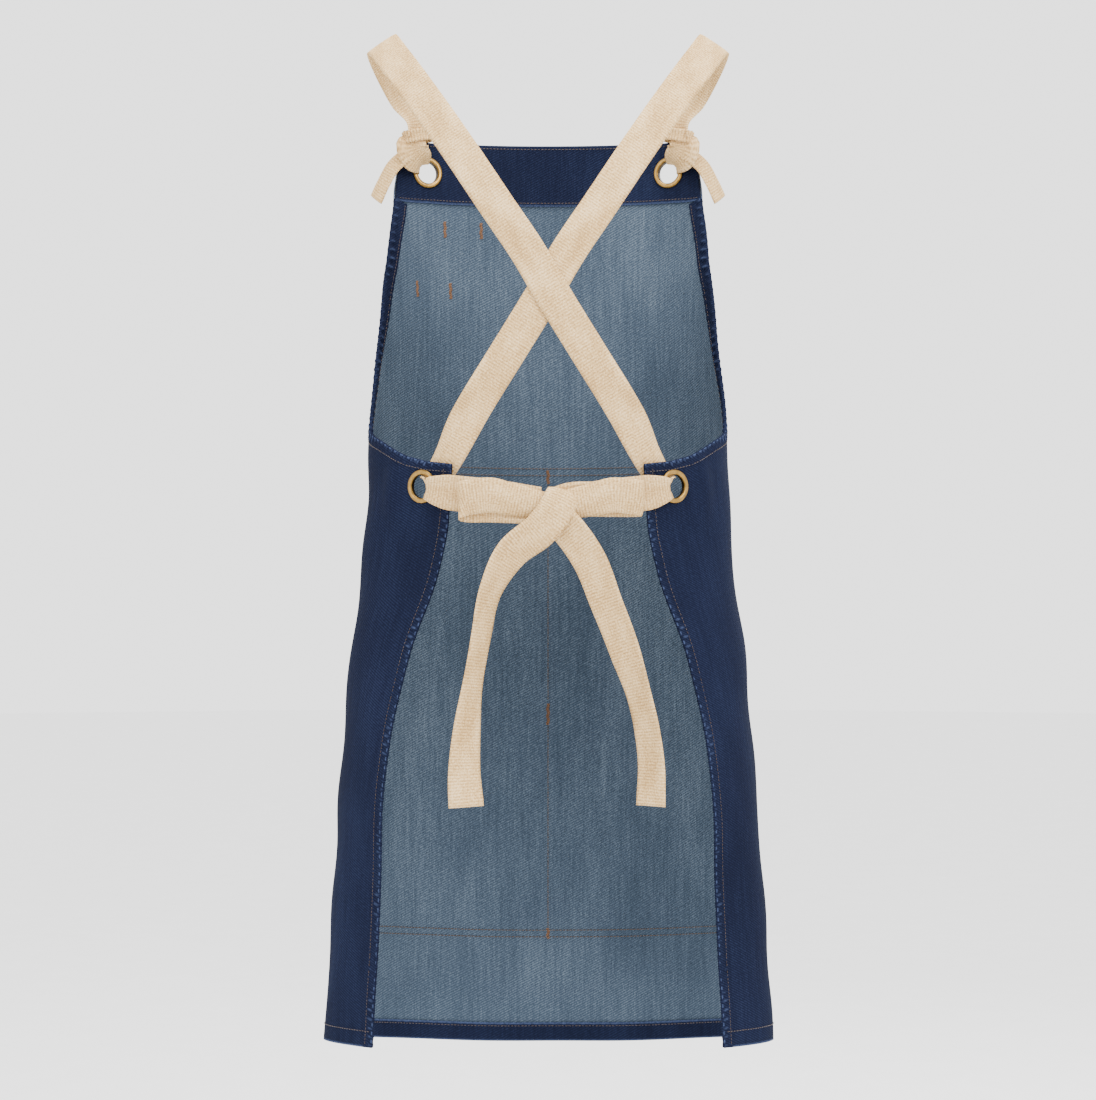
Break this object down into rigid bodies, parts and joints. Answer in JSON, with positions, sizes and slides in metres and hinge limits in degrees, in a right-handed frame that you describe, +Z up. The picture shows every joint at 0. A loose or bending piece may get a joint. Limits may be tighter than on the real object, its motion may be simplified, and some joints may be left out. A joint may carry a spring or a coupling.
{
  "type": "bib apron",
  "caption": "Full-length denim bib apron with crossed webbing straps, brass eyelets and a back bow, in its worn shape.",
  "frame": {"origin": "midway between the two straps where they pass over the shoulders, at the height of their undersides", "axes": "+Z up; the wearer faces -Y, so the bib is on the -Y side and the open back with its bow on the +Y side; +X is the wearer's left"},
  "size_m": [0.407, 0.2819, 0.9423],
  "materials": {
    "denim": "indigo cotton twill, matte, paler inside",
    "webbing": "undyed cotton webbing, matte, ribbed",
    "brass": "antiqued, satin"
  },
  "bodies": {
    "root": {"apron_cloth": "denim", "bib_facing": "denim", "side_hem_left": "denim", "side_hem_right": "denim", "wing_hem_left": "denim", "wing_hem_right": "denim", "skirt_hem": "denim", "front_panel": "denim", "front_pocket": "denim", "chest_loop_upper": "denim", "chest_loop_lower": "denim", "eyelet_top_left": "brass", "eyelet_top_right": "brass", "eyelet_wing_left": "brass", "eyelet_wing_right": "brass", "strap_left": "webbing", "strap_right": "webbing", "top_knot_left": "webbing", "top_knot_right": "webbing", "top_tail_left": "webbing", "top_tail_right": "webbing", "bow_knot": "webbing", "bow_loop_left": "webbing", "bow_loop_right": "webbing", "bow_tail_left": "webbing", "bow_tail_right": "webbing"}
  },
  "joints": []
}
